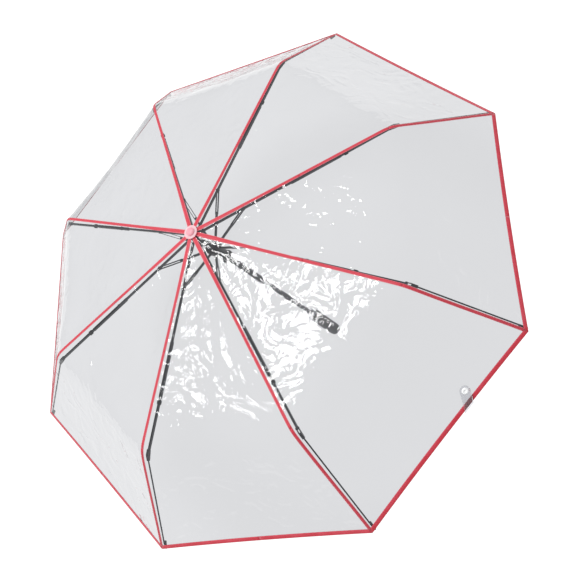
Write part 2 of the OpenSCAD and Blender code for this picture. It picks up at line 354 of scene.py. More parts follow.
@dataclass(frozen=True)
class ClearPinkFinish(Finish):
    """Tinted translucent plastic of the cap on top."""

    colour: Colour = (0.86, 0.30, 0.37)
    milky: Colour = (0.93, 0.58, 0.62)
    passes: float = 0.35

    def shader(self, w: Wiring) -> bpy.types.NodeSocket:
        """Cloudy pink plastic with a smooth skin."""
        cloud = w.noise(240.0, 3.0)
        body = w.node("BsdfPrincipled", {
            "Base Color": w.blend(cloud, self.colour, self.milky),
            "Roughness": w.between(cloud, 0.16, 0.3),
            "Normal": w.bump(w.noise(700.0, 2.0), 0.00008, 0.5),
        })
        body.inputs["Coat Weight"].default_value = 0.4
        through = w.node("BsdfTransparent", Color=(0.98, 0.72, 0.76, 1))
        share = w.between(cloud, self.passes - 0.08, self.passes + 0.08)
        return w.node("MixShader", {0: share, 1: body.outputs[0], 2: through.outputs[0]}).outputs[0]


@dataclass(frozen=True)
class Paper(Finish):
    """The plain pale floor."""

    glow: float = 1.1

    def shader(self, w: Wiring) -> bpy.types.NodeSocket:
        """White paper that stays evenly bright."""
        mottle = w.noise(3.0, 2.0)
        paper = w.node("BsdfDiffuse", {"Color": w.blend(mottle, (0.12, 0.12, 0.12), (0.13, 0.13, 0.13))})
        light = w.node("Emission", Color=(1, 1, 1, 1), Strength=self.glow)
        return w.node("AddShader", {0: paper.outputs[0], 1: light.outputs[0]}).outputs[0]


FILM = FilmFinish("clear_vinyl_film", Slot.FILM)
STRAP_FILM = FilmFinish("strap_vinyl", Slot.FILM, tint=(0.90, 0.90, 0.915), haze=0.05, roughness=0.12)
SEAM_TAPE = TapeFinish("seam_binding_tape", Slot.TAPE)
# The hem tape's paler edge colour is also painted light showing through its single layer.
HEM_TAPE = TapeFinish("hem_binding_tape", Slot.TAPE, core=(0.52, 0.012, 0.03), edge=(0.60, 0.045, 0.075))
THREAD = SewingThread("sewing_thread", Slot.TAPE)
TIE_THREAD = SewingThread("black_tie_thread", Slot.BLACK_PLASTIC, colour=(0.02, 0.02, 0.022))
LACQUER = SteelFinish("lacquered_steel", Slot.STEEL)
SHAFT_BLACK = SteelFinish("black_shaft_lacquer", Slot.BLACK_TUBE, grain=(1, 1, 0.05), metallic=0.35)
SHAFT_GREY = SteelFinish("gunmetal_shaft", Slot.BRIGHT_TUBE, colour=(0.05, 0.05, 0.057),
                         worn=(0.085, 0.085, 0.093), roughness=0.34, metallic=0.8, grain=(1, 1, 0.05))
BRIGHT_WIRE = SteelFinish("plated_wire", Slot.STEEL, colour=(0.30, 0.30, 0.32), worn=(0.42, 0.42, 0.44),
                          roughness=0.32, metallic=1.0)
BLACK_PLASTIC = PlasticFinish("black_moulding", Slot.BLACK_PLASTIC)
HANDLE_PLASTIC = PlasticFinish("handle_moulding", Slot.HANDLE, roughness=0.5, texture=900.0, depth=0.00012)
PINK = ClearPinkFinish("pink_cap_plastic", Slot.PINK)
CLEAR_DISC = ClearPinkFinish("clear_disc_plastic", Slot.PINK, colour=(0.93, 0.70, 0.73),
                             milky=(0.97, 0.86, 0.87), passes=0.55)
WHITE = PlasticFinish("white_snap_plastic", Slot.WHITE, colour=(0.90, 0.90, 0.89), worn=(0.94, 0.94, 0.93),
                      roughness=0.32)


# ------------------------------------------------------------ mesh helpers

# A stitch: its corners as shares of its length, width and height, and its faces.
STITCH_CORNERS = np.array([(-0.5, -0.5, 0), (0.5, -0.5, 0), (0.5, 0.5, 0), (-0.5, 0.5, 0),
                           (-0.32, -0.3, 1), (0.32, -0.3, 1), (0.32, 0.3, 1), (-0.32, 0.3, 1)])
STITCH_FACES = [(0, 3, 2, 1), (4, 5, 6, 7), (0, 1, 5, 4), (1, 2, 6, 5), (2, 3, 7, 6), (3, 0, 4, 7)]


@dataclass
class MeshCloth:
    """Points, faces and finishes of one piece, gathered before it is made."""

    points: List[np.ndarray] = field(default_factory=list)
    faces: List[Tuple[int, ...]] = field(default_factory=list)
    finish_of: List[int] = field(default_factory=list)
    uvs: List[np.ndarray] = field(default_factory=list)
    count: int = 0

    def add(self, points: np.ndarray, faces: Iterable[Tuple[int, ...]], finish: int = 0,
            uvs: np.ndarray | None = None) -> None:
        """Adds points and faces.

        Args:
            points: new points, one row each.
            faces: faces that count from the first new point.
            finish: which of the piece's finishes they take.
            uvs: place of each new point along and across the piece.
        """
        flat = points.reshape(-1, 3)
        new = [tuple(i + self.count for i in face) for face in faces]
        self.points.append(flat)
        self.faces += new
        self.finish_of += [finish] * len(new)
        self.uvs.append(np.zeros((len(flat), 2)) if uvs is None else uvs.reshape(-1, 2))
        self.count += len(flat)

    def cap(self, rows: int, columns: int, flip: bool = False) -> None:
        """Closes both ends of a tube that starts at the first point.

        Args:
            rows: rows of points along the tube.
            columns: points round it.
            flip: turns the two faces over.
        """
        last = (rows - 1) * columns
        ends = [tuple(range(columns)), tuple(range(last + columns - 1, last - 1, -1))]
        self.faces += [end[::-1] for end in ends] if flip else ends
        self.finish_of += [0, 0]

    def make(self, name: str, finishes: Sequence[Finish],
             normals: np.ndarray | None = None) -> bpy.types.Object:
        """Makes the object.

        Args:
            name: the piece's name.
            finishes: its finishes, in the order that faces count them.
            normals: a smooth normal for each point, where its neighbours are other pieces.

        Returns:
            The new object, linked to the scene.
        """
        mesh = bpy.data.meshes.new(name)
        mesh.from_pydata(np.concatenate(self.points).tolist(), [], self.faces)
        mesh.polygons.foreach_set("use_smooth", [True] * len(self.faces))
        mesh.polygons.foreach_set("material_index", self.finish_of)
        corner = np.zeros(len(mesh.loops), np.int32)
        mesh.loops.foreach_get("vertex_index", corner)
        layer = mesh.uv_layers.new(name="UVMap")
        layer.data.foreach_set("uv", np.concatenate(self.uvs)[corner].astype(np.float32).ravel())
        for finish in finishes:
            mesh.materials.append(finish.material())
        mesh.update()
        if normals is not None:
            mesh.normals_split_custom_set_from_vertices(normals.reshape(-1, 3).tolist())
        made = bpy.data.objects.new(name, mesh)
        bpy.context.scene.collection.objects.link(made)
        return made


def grid_faces(rows: int, columns: int, flip: bool = False, closed: bool = False) -> List[Tuple[int, ...]]:
    """Faces of a grid of points.

    Args:
        rows: rows of points.
        columns: points in a row.
        flip: turns the faces over.
        closed: joins the last point of each row to its first.

    Returns:
        Four point numbers for each face.
    """
    made = []
    for i in range(rows - 1):
        for j in range(columns if closed else columns - 1):
            a, b = i * columns + j, i * columns + (j + 1) % columns
            face = (a, a + columns, b + columns, b)
            made.append(face[::-1] if flip else face)
    return made


def turned(points: np.ndarray, angle: float) -> np.ndarray:
    """Turns points about the shaft's axis."""
    c, s = math.cos(angle), math.sin(angle)
    x, y = points[..., 0], points[..., 1]
    return np.stack([c * x - s * y, s * x + c * y, points[..., 2]], -1)


def unit(vectors: np.ndarray) -> np.ndarray:
    """Vectors brought to length one."""
    return vectors / np.maximum(np.linalg.norm(vectors, axis=-1, keepdims=True), 1e-12)


def smooth(value: np.ndarray, low: float, high: float) -> np.ndarray:
    """0 below low, 1 above high, and a soft step between."""
    t = np.clip((value - low) / (high - low), 0, 1)
    return t * t * (3 - 2 * t)


# ------------------------------------------------------- the film's surface


@dataclass(frozen=True)
class Crinkle:
    """Fixed creases and hollows of soft film, the same on every run."""

    seed: int = 11
    hollow: float = 1.6 * MM
    crease: float = 1.7 * MM
    crumple: float = 0.75 * MM
    fold: float = 0.9 * MM
    spokes: int = 96

    def lattice(self, ix: np.ndarray, iy: np.ndarray, seed: int) -> np.ndarray:
        """A fixed number from 0 to 1 for each lattice point."""
        word = 0xFFFFFFFF
        mixed = ix.astype(np.int64) * 374761393 + iy.astype(np.int64) * 668265263
        mixed = (mixed + seed * 974634777) & word
        mixed = ((mixed ^ (mixed >> 13)) * 1274126177) & word
        return (mixed ^ (mixed >> 16)) / float(word)

    def field(self, x: np.ndarray, y: np.ndarray, size: float, seed: int) -> np.ndarray:
        """Soft noise from 0 to 1 with features of about one size.

        Args:
            x: place along X.
            y: place along Y.
            size: size of a feature.
            seed: which noise.

        Returns:
            The noise at each place.
        """
        x, y = x / size, y / size
        ix, iy = np.floor(x), np.floor(y)
        u, v = x - ix, y - iy
        u, v = u * u * u * (u * (u * 6 - 15) + 10), v * v * v * (v * (v * 6 - 15) + 10)
        low = self.lattice(ix, iy, seed) * (1 - u) + self.lattice(ix + 1, iy, seed) * u
        high = self.lattice(ix, iy + 1, seed) * (1 - u) + self.lattice(ix + 1, iy + 1, seed) * u
        return low * (1 - v) + high * v

    def folds(self, x: np.ndarray, y: np.ndarray) -> np.ndarray:
        """Long folds that run out from the centre, from 0 to 1."""
        round_the_hub = (np.arctan2(y, x) / (2 * math.pi) % 1.0) * self.spokes
        out = np.hypot(x, y) / 0.11
        ix, iy = np.floor(round_the_hub), np.floor(out)
        u, v = smooth(round_the_hub - ix, 0, 1), smooth(out - iy, 0, 1)
        left, right = ix % self.spokes, (ix + 1) % self.spokes
        seed = self.seed + 9
        low = self.lattice(left, iy, seed) * (1 - u) + self.lattice(right, iy, seed) * u
        high = self.lattice(left, iy + 1, seed) * (1 - u) + self.lattice(right, iy + 1, seed) * u
        return low * (1 - v) + high * v

    def height(self, x: np.ndarray, y: np.ndarray) -> np.ndarray:
        """Height of the crinkled film over the taut one."""
        wander, swirl = 30 * MM, 70 * MM
        bend_x = x + wander * (self.field(x, y, swirl, self.seed) - 0.5)
        bend_y = y + wander * (self.field(x, y, swirl, self.seed + 1) - 0.5)
        c, s = math.cos(0.6), math.sin(0.6)
        slant_x, slant_y = c * bend_x - s * bend_y, s * bend_x + c * bend_y
        hollow = self.field(x, y, 0.075, self.seed + 2) - 0.5
        crease = np.abs(2 * self.field(slant_x, slant_y, 0.038, self.seed + 3) - 1)
        crumple = np.abs(2 * self.field(bend_x, bend_y, 0.017, self.seed + 4) - 1)
        fold = self.fold * smooth(np.hypot(x, y), 0.03, 0.12) * self.folds(x, y)
        return self.hollow * hollow - self.crease * crease - self.crumple * crumple + fold


@dataclass(frozen=True)
class CanopyShape:
    """The one curved surface that every piece of film and tape is cut from."""

    apex: float
    corner: float
    first_hinge: float
    knee: float
    hub: float = 4.6 * MM
    bend: float = 312 * MM
    bend_drop: float = 61 * MM
    hem_drop: float = 187 * MM
    ridge_round: float = 4 * MM
    panel_round: float = 13 * MM
    sag: float = 5.5 * MM
    skirt_sag: float = 4 * MM
    scallop: float = 0.004
    seam_turn: float = math.radians(-1.0)
    corner_turn: float = math.radians(-0.6)
    crinkle: Crinkle = Crinkle()

    def reach(self, span: Span) -> Tuple[float, float]:
        """Where a span starts and ends, out from the centre."""
        return {Span.TOP: (self.hub, self.first_hinge), Span.MIDDLE: (self.first_hinge, self.knee),
                Span.SKIRT: (self.knee, self.corner)}[span]

    def level(self, rho: np.ndarray, rounding: np.ndarray) -> np.ndarray:
        """Height of a seam under the centre.

        Args:
            rho: distance out along the seam's level.
            rounding: how softly the bend turns.

        Returns:
            The height, which is negative.
        """
        inner = -self.bend_drop / self.bend
        outer = -(self.hem_drop - self.bend_drop) / (self.corner - self.bend)
        soft = rounding * np.logaddexp(0, (rho - self.bend) / rounding)
        return inner * rho + (outer - inner) * soft

    def turn(self, rho: np.ndarray) -> np.ndarray:
        """How far the seams lie round from the ribs."""
        return self.seam_turn + (self.corner_turn - self.seam_turn) * smooth(rho, self.bend, self.corner)

    def taut(self, rho: np.ndarray, t: np.ndarray, side: Side, rib: int) -> np.ndarray:
        """The smooth surface.

        Args:
            rho: distance out, as on the seam.
            t: share of the way over to the next seam.
            side: which side of the rib.
            rib: the rib's number.

        Returns:
            Points of the surface.
        """
        rho, t = np.broadcast_arrays(np.asarray(rho, float), np.asarray(t, float))
        belly = 4 * t * (1 - t)
        skirt = smooth(rho, self.bend, self.corner)
        out = rho * (1 - self.scallop * belly * skirt * skirt)
        rounding = self.ridge_round + (self.panel_round - self.ridge_round) * np.clip(belly, 0, 1)
        z = self.level(out, rounding)
        x = out * (1 - t * (1 - math.cos(STEP)))
        y = side.value * out * t * math.sin(STEP)
        hang = self.sag * np.sin(np.pi * np.clip(rho / self.bend, 0, 1)) ** 2
        pull = self.skirt_sag * np.sin(np.pi * np.clip((rho - self.bend) / (self.corner - self.bend), 0, 1))
        flat = np.stack([x, y, z - hang * belly], -1)
        half = side.value * STEP / 2
        inward = np.array([-0.72 * math.cos(half), -0.72 * math.sin(half), -0.69])
        flat = flat + (pull * belly)[..., None] * inward
        angle = rib * STEP + self.turn(rho)
        c, s = np.cos(angle), np.sin(angle)
        return np.stack([c * flat[..., 0] - s * flat[..., 1], s * flat[..., 0] + c * flat[..., 1],
                         flat[..., 2] + self.apex], -1)

    def slope(self, rho: np.ndarray, t: np.ndarray, side: Side, rib: int) -> np.ndarray:
        """The taut surface's outward normal, by small steps along it."""
        small = 0.4 * MM
        along = self.taut(rho + small, t, side, rib) - self.taut(rho - small, t, side, rib)
        reach = small / np.maximum(rho, 4 * MM)
        over = self.taut(rho, t + reach, side, rib) - self.taut(rho, t, side, rib)
        return unit(np.cross(along, over)) * side.value

    def film(self, rho: np.ndarray, t: np.ndarray, side: Side, rib: int) -> np.ndarray:
        """The crinkled surface of the film, with the same arguments and result as taut."""
        base = self.taut(rho, t, side, rib)
        rho, t = np.broadcast_arrays(np.asarray(rho, float), np.asarray(t, float))
        width = 2 * rho * math.sin(STEP / 2)
        free = smooth(np.minimum(t, 1 - t) * width, 2.5 * MM, 22 * MM)
        free = free * smooth(self.corner - rho, 4 * MM, 30 * MM) * smooth(rho, 8 * MM, 26 * MM)
        calm = 1 - 0.55 * smooth(rho, 0.2, 0.3)
        tilt = np.stack([np.zeros_like(rho), np.zeros_like(rho), np.ones_like(rho)], -1)
        height = self.crinkle.height(base[..., 0], base[..., 1]) * free * calm
        return base + height[..., None] * tilt

    def strip_normals(self, rho: np.ndarray, t: np.ndarray, side: Side, rib: int) -> np.ndarray:
        """Normals of the crinkled film that match on both sides of a cut."""
        small = 0.5 * MM
        reach = small / np.maximum(rho, 6 * MM)
        along = self.film(rho + small, t, side, rib) - self.film(rho - small, t, side, rib)
        over = self.film(rho, t + reach, side, rib) - self.film(rho, np.maximum(t - reach, 0), side, rib)
        return unit(np.cross(along, over)) * side.value

    def squash_line(self, span: Span, side: Side, rib: int) -> Tuple[np.ndarray, np.ndarray]:
        """How half a strip gathers to its seam.

        Args:
            span: which length of the rib.
            side: which side of the rib.
            rib: the rib's number.

        Returns:
            The direction it gathers along, in the panel and square to the seam, and a point on the seam.
        """
        a, b = self.reach(span)
        start, end = (self.taut(np.array([r]), np.array([0.0]), side, rib)[0] for r in (a, b))
        ridge = unit(end - start)
        over = self.taut(np.array([b]), np.array([0.5]), side, rib)[0] - end
        return unit(over - (over @ ridge) * ridge), (start + end) / 2

    def settled_line(self, span: Span, rib: int, first: float, last: float) -> Tuple[np.ndarray, np.ndarray]:
        """Where a seam's tape settles between the folded ribs.

        Args:
            span: which length of the rib.
            rib: the rib's number.
            first: how far out of the film it moves at the end nearer the centre.
            last: how far out of the film it moves at its other end.

        Returns:
            The direction that it moves along, and a point that it moves to.
        """
        start, end = (self.taut(np.array([r]), np.array([0.0]), Side.LEFT, rib)[0] for r in self.reach(span))
        across = unit(np.cross(np.array([0.0, 0.0, 1.0]), end - start))
        out = unit(np.cross(end - start, across))
        ridge = end + out * last - start - out * first
        return unit(np.cross(ridge, across)), end + out * last


# ------------------------------------------------------------ sub-assemblies


@dataclass
class Canopy:
    """Eight clear panels, joined by bound seams and bound round the hem."""

    shape: CanopyShape
    columns: int = 34
    row_pitch: float = 3.0 * MM
    kept: Dict[Span, float] = field(
        default_factory=lambda: {Span.TOP: 0.16, Span.MIDDLE: 0.04, Span.SKIRT: 0.085})
    seam_half: float = 3.5 * MM
    seam_far: float = 2.6 * MM
    hem_wide: float = 6.4 * MM
    seam_profile: Loop = ((-1.0, 0.10), (-0.94, 0.36), (-0.6, 0.42), (-0.28, 0.5), (0.0, 0.78), (0.28, 0.5),
                          (0.6, 0.42), (0.94, 0.36), (1.0, 0.10), (0.5, 0.05), (0.0, 0.05), (-0.5, 0.05))
    hem_profile: Loop = ((6.4, 0.08), (6.3, 0.40), (5.2, 0.48), (3.0, 0.55), (1.2, 0.62), (0.2, 0.62),
                         (-0.35, 0.38), (-0.52, 0.0), (-0.35, -0.38), (0.2, -0.62), (1.2, -0.62),
                         (3.0, -0.55), (5.2, -0.48), (6.3, -0.40), (6.4, -0.08), (4.0, -0.05), (4.0, 0.05))
    settled: Dict[Span, Tuple[float, float]] = field(
        default_factory=lambda: {Span.TOP: (3.1 * MM, 0.4 * MM)})
    stitch_pitch: float = 3.4 * MM
    stitch: Tuple[float, float, float] = (2.3 * MM, 0.42 * MM, 0.22 * MM)

    def build(self) -> None:
        """Makes every strip of film with the tapes that hold it."""
        for rib in range(1, RIBS + 1):
            hems = {side: self.hem(rib, side) for side in Side}
            for span in Span:
                seam = self.seam(rib, span)
                for side in Side:
                    going = [seam] if side is Side.LEFT else []
                    going += [hems[side]] if span is Span.SKIRT else []
                    self.strip(rib, span, side)
        LOG.info("canopy: %d strips of film, %d seam tapes, %d hem tapes", 48, 24, 16)

    def rows(self, span: Span) -> np.ndarray:
        """Distances out of a span's rows of points."""
        a, b = self.shape.reach(span)
        return np.linspace(a, b, max(8, round((b - a) / self.row_pitch)) + 1)

    def ride(self, piece: bpy.types.Object, rib: int, span: Span) -> None:
        """Makes a piece move with its length of rib."""
        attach(piece, f"{span.body}_{rib}")

    def gather(self, piece: bpy.types.Object, rib: int, span: Span, side: Side) -> None:
        """Works out the line that a piece would gather to its seam along, and gives the piece its own copy of
        its mesh.
        """
        axis, anchor = self.shape.squash_line(span, side, rib)
        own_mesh(piece)

    def strip(self, rib: int, span: Span, side: Side) -> None:
        """Makes the film from a seam to the middle of a panel.

        Args:
            rib: the rib that carries it.
            span: which length of the rib.
            side: which side of the seam.
        """
        rho = self.rows(span)[:, None]
        t = np.linspace(0, 0.5, self.columns + 1)[None, :]
        points = self.shape.film(rho, t, side, rib)
        normals = self.shape.strip_normals(rho, t, side, rib)
        cloth = MeshCloth()
        uvs = np.stack(np.broadcast_arrays(rho, t), -1)
        cloth.add(points, grid_faces(len(rho), self.columns + 1, flip=side is Side.RIGHT), uvs=uvs)
        piece = cloth.make(f"film_{span.value}_{rib}_{side.name.lower()}", [FILM], normals)
        self.ride(piece, rib, span)
        self.gather(piece, rib, span, side)
        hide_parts("canopy_film")
        a, b = self.shape.reach(span)
        ends = self.shape.taut(np.array([a, b]), np.array([0.0, 0.0]), side, rib)

    def lifted(self, rho: np.ndarray, v: np.ndarray, lift: np.ndarray, rib: int) -> np.ndarray:
        """Points over the film beside a seam.

        Args:
            rho: distances out.
            v: distances across the seam, positive to its left.
            lift: heights over the film.
            rib: the rib's number.

        Returns:
            The points.
        """
        rho, v, lift = np.broadcast_arrays(rho, v, lift)
        t = np.abs(v) / (2 * rho * math.sin(STEP / 2))
        points = np.where((v >= 0)[..., None], self.shape.film(rho, t, Side.LEFT, rib),
                          self.shape.film(rho, t, Side.RIGHT, rib))
        left = self.shape.slope(rho, t, Side.LEFT, rib)
        right = self.shape.slope(rho, t, Side.RIGHT, rib)
        share = np.clip(0.5 + v / (1.6 * MM), 0, 1)[..., None]
        return points + unit(left * share + right * (1 - share)) * lift[..., None]

    def seam(self, rib: int, span: Span) -> bpy.types.Object:
        """Makes one length of the tape over a seam, with its two rows of stitches.

        Args:
            rib: the rib under it.
            span: which length of the rib.

        Returns:
            The tape.
        """
        rho = self.rows(span)
        if span is Span.TOP:
            rho = np.clip(rho, 6.5 * MM, None)
            rho = rho[np.concatenate([[True], np.diff(rho) > 0])]
        if span is Span.SKIRT:
            rho = np.linspace(rho[0], self.shape.corner - 3.2 * MM, len(rho))
        half = self.half_width(rho)[:, None]
        loop = np.array(self.seam_profile)
        points = self.lifted(rho[:, None], half * loop[None, :, 0], loop[None, :, 1] * MM, rib)
        n = len(loop)
        cloth = MeshCloth()
        uvs = np.stack(np.broadcast_arrays(rho[:, None], 0.5 + loop[None, :, 0] / 2), -1)
        cloth.add(points, grid_faces(len(rho), n, closed=True), uvs=uvs)
        cloth.cap(len(rho), n)
        start = max(rho[0], 14 * MM) + self.stitch_pitch / 2
        places = np.arange(start, rho[-1] - 1.5 * MM, self.stitch_pitch)
        for share in (-0.72, 0.72):
            self.sew(cloth, places, share * self.half_width(places), rib)
        piece = cloth.make(f"seam_tape_{span.value}_{rib}", [SEAM_TAPE, THREAD])
        self.ride(piece, rib, span)
        if span in self.settled:
            axis, anchor = self.shape.settled_line(span, rib, *self.settled[span])
            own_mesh(piece)
        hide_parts("seam_binding")
        return piece

    def half_width(self, rho: np.ndarray) -> np.ndarray:
        """Half the width of a seam tape, widest where the panels gather at the centre."""
        wide = self.seam_half - (self.seam_half - self.seam_far) * smooth(rho, 25 * MM, 120 * MM)
        return np.minimum(wide, 0.30 * rho)

    def sew(self, cloth: MeshCloth, places: np.ndarray, v: np.ndarray, rib: int) -> None:
        """Sews a row of stitches along a seam tape.

        Args:
            cloth: the tape.
            places: how far out each stitch is.
            v: how far across the tape each one is.
            rib: the rib's number.
        """
        long, wide, high = self.stitch
        ends = STITCH_CORNERS
        rho = places[:, None] + ends[None, :, 0] * long
        across = v[:, None] + ends[None, :, 1] * wide
        lift = 0.32 * MM + ends[None, :, 2] * high + 0 * rho
        points = self.lifted(rho, across + 0 * rho, lift, rib)
        faces = [tuple(8 * i + p for p in face) for i in range(len(places)) for face in STITCH_FACES]
        cloth.add(points, faces, finish=1)

    def hem(self, rib: int, side: Side) -> bpy.types.Object:
        """Makes the tape folded round the hem from a corner to the middle of a panel.

        Args:
            rib: the rib at the corner.
            side: which side of it.

        Returns:
            The tape.
        """
        loop = np.array(self.hem_profile) * MM
        loop[:, 0] *= self.hem_wide / (6.4 * MM)
        t = np.linspace(0, 0.5, self.columns + 1)[:, None]
        drop = self.shape.hem_drop - self.shape.bend_drop
        fall = math.hypot(1, drop / (self.shape.corner - self.shape.bend))
        rho = self.shape.corner - loop[None, :, 0] / fall
        base = self.shape.taut(rho, t, side, rib)
        normal = self.shape.slope(rho + 0 * t, t + 0 * rho, side, rib)
        beyond = Side.RIGHT if side is Side.LEFT else Side.LEFT
        other = self.shape.slope(rho[:1], t[:1] + 0 * rho[:1], beyond, rib)
        normal[0] = unit(normal[0] + other[0])
        points = base + normal * loop[None, :, 1:2]
        n = len(loop)
        cloth = MeshCloth()
        uvs = np.stack(np.broadcast_arrays(t * 0.34, np.linspace(0, 1, n)[None, :]), -1)
        cloth.add(points, grid_faces(len(t), n, flip=side is Side.LEFT, closed=True), uvs=uvs)
        cloth.cap(len(t), n, flip=side is Side.LEFT)
        self.sew_hem(cloth, side, rib, fall)
        piece = cloth.make(f"hem_tape_{rib}_{side.name.lower()}", [HEM_TAPE, THREAD])
        self.ride(piece, rib, Span.SKIRT)
        self.gather(piece, rib, Span.SKIRT, side)
        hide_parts("hem_binding")
        return piece

    def sew_hem(self, cloth: MeshCloth, side: Side, rib: int, fall: float) -> None:
        """Sews the row of stitches along a hem tape.

        Args:
            cloth: the tape.
            side: which side of the corner.
            rib: the rib at the corner.
            fall: slope length of the skirt for each step out.
        """
        long, wide, high = self.stitch
        edge = 2 * self.shape.corner * math.sin(STEP / 2)
        places = np.arange(6 * MM, edge / 2 - 1.5 * MM, self.stitch_pitch)
        ends = STITCH_CORNERS
        t = (places[:, None] + ends[None, :, 0] * long) / edge
        rho = self.shape.corner - (5.2 * MM + ends[None, :, 1] * wide) / fall + 0 * t
        points = self.shape.taut(rho, t, side, rib)
        points = points + self.shape.slope(rho, t, side, rib) * (0.38 * MM + ends[:, 2] * high)[None, :, None]
        faces = [tuple(8 * i + p for p in face) for i in range(len(places)) for face in STITCH_FACES]
        if side is Side.RIGHT:
            faces = [f[::-1] for f in faces]
        cloth.add(points, faces, finish=1)


@dataclass
class ClosureStrap:
    """Short clear strap on the hem, with the snap that holds the furled canopy."""

    shape: CanopyShape
    rib: int = 1
    along: float = 42 * MM
    long: float = 25 * MM
    wide: float = 15 * MM
    turn: float = math.radians(35)
    thick: float = 0.45 * MM
    lift: float = 1.0 * MM
    snap_profile: Loop = ((0.0, 0.7), (4.0, 0.7), (4.2, 0.8), (4.2, 1.5), (4.6, 1.7), (4.75, 2.0), (4.6, 2.5),
                          (3.9, 2.9), (2.6, 3.1), (2.2, 2.9), (1.9, 2.5), (0.0, 2.4))

    def frame_at_hem(self) -> Tuple[np.ndarray, np.ndarray, np.ndarray, np.ndarray]:
        """The skirt's middle at the hem, with its directions.

        Returns:
            A point, the way down the slope, the way along the hem and the way out of the film.
        """
        half = STEP / 2
        pitch = math.atan2(self.shape.hem_drop - self.shape.bend_drop,
                           (self.shape.corner - self.shape.bend) * math.cos(half))
        flat = self.shape.corner * math.cos(half)
        local = np.array([[flat, 0, self.shape.apex - self.shape.hem_drop],
                          [math.cos(pitch), 0, -math.sin(pitch)], [0, 1, 0],
                          [math.sin(pitch), 0, math.cos(pitch)]])
        angle = half + self.shape.corner_turn
        made = turned(local, angle)
        return made[0], made[1], made[2], made[3]

    def place(self, points: np.ndarray) -> np.ndarray:
        """Puts flat points, back from the hem, across and up, on the skirt."""
        origin, down, along, out = self.frame_at_hem()
        x = -points[:, 0] * math.cos(self.turn) + points[:, 1] * math.sin(self.turn)
        y = points[:, 0] * math.sin(self.turn) + points[:, 1] * math.cos(self.turn)
        return (origin + x[:, None] * down + (y[:, None] + self.along) * along
                + (points[:, 2:3] + self.lift) * out)

    def build(self) -> None:
        """Makes the strap and its snap."""
        snap = self.snap()
        strap = self.strap()
        for piece, node in ((strap, "closure_strap"), (snap, "strap_snap")):
            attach(piece, f"outer_rib_{self.rib}")
            axis, anchor = self.shape.squash_line(Span.SKIRT, Side.RIGHT, self.rib)
            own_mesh(piece)
            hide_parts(node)
        LOG.info("closure strap and snap")

    def strap(self) -> bpy.types.Object:
        """The strap, square at the hem and round at the snap."""
        half, slant = self.wide / 2, self.wide / 2 * math.tan(self.turn)
        rows, columns = 26, 9
        s = np.linspace(0, 1, rows)[:, None]
        q = np.linspace(-1, 1, columns)[None, :]
        start = q * slant
        end = self.long + half * np.sqrt(np.clip(1 - (q * 0.995) ** 2, 0, 1))
        back = start + (end - start) * s
        across = q * half + 0 * s
        curl = 0.9 * MM * np.sin(np.pi * s) ** 2 * (0.4 + 0.6 * q * q)
        top = np.stack([back, across, curl + self.thick], -1)
        under = np.stack([back, across, curl], -1)
        cloth = MeshCloth()
        both = np.concatenate([top.reshape(-1, 3), under.reshape(-1, 3)])
        faces = grid_faces(rows, columns, flip=True)
        m = rows * columns
        faces += [tuple(i + m for i in f)[::-1] for f in grid_faces(rows, columns, flip=True)]
        rim = ([i for i in range(columns)] + [r * columns + columns - 1 for r in range(1, rows)]
               + [(rows - 1) * columns + c for c in range(columns - 2, -1, -1)]
               + [r * columns for r in range(rows - 2, 0, -1)])
        faces += [(a, b, b + m, a + m) for a, b in zip(rim, rim[1:] + rim[:1])]
        cloth.add(self.place(both), faces)
        return cloth.make("closure_strap_clear", [STRAP_FILM])

    def snap(self) -> bpy.types.Object:
        """The round snap, turned about its own axis."""
        around = 28
        loop = np.array(self.snap_profile)
        angle = np.linspace(0, 2 * math.pi, around, endpoint=False)[None, :]
        radius = np.maximum(loop[:, :1], 0.02) * MM
        points = np.stack([self.long + radius * np.cos(angle), radius * np.sin(angle),
                           (loop[:, 1:2] - 1.0) * MM + 0 * angle], -1)
        cloth = MeshCloth()
        cloth.add(self.place(points.reshape(-1, 3)), grid_faces(len(loop), around, closed=True))
        cloth.cap(len(loop), around)
        return cloth.make("strap_snap_white", [WHITE])


def dress(nodes: Iterable[str], finish: Finish) -> None:
    """Gives CAD nodes a finish.

    Args:
        nodes: their names.
        finish: the finish that they take.
    """
    for name in nodes:
        piece = frame["nodes"][name]
        if not piece.material_slots:
            piece.data.materials.append(finish.material())
        for place in piece.material_slots:
            place.material = finish.material()


@dataclass
class Crown:
    """Cap, disc, notched crown and its wire."""

    def build(self) -> None:
        """Dresses the crown's pieces."""
        dress(["top_cap"], PINK)
        dress(["cap_disc"], CLEAR_DISC)
        dress(["crown_notch"], BLACK_PLASTIC)
        dress(["crown_wire"], BRIGHT_WIRE)
        LOG.info("crown: 4 pieces")


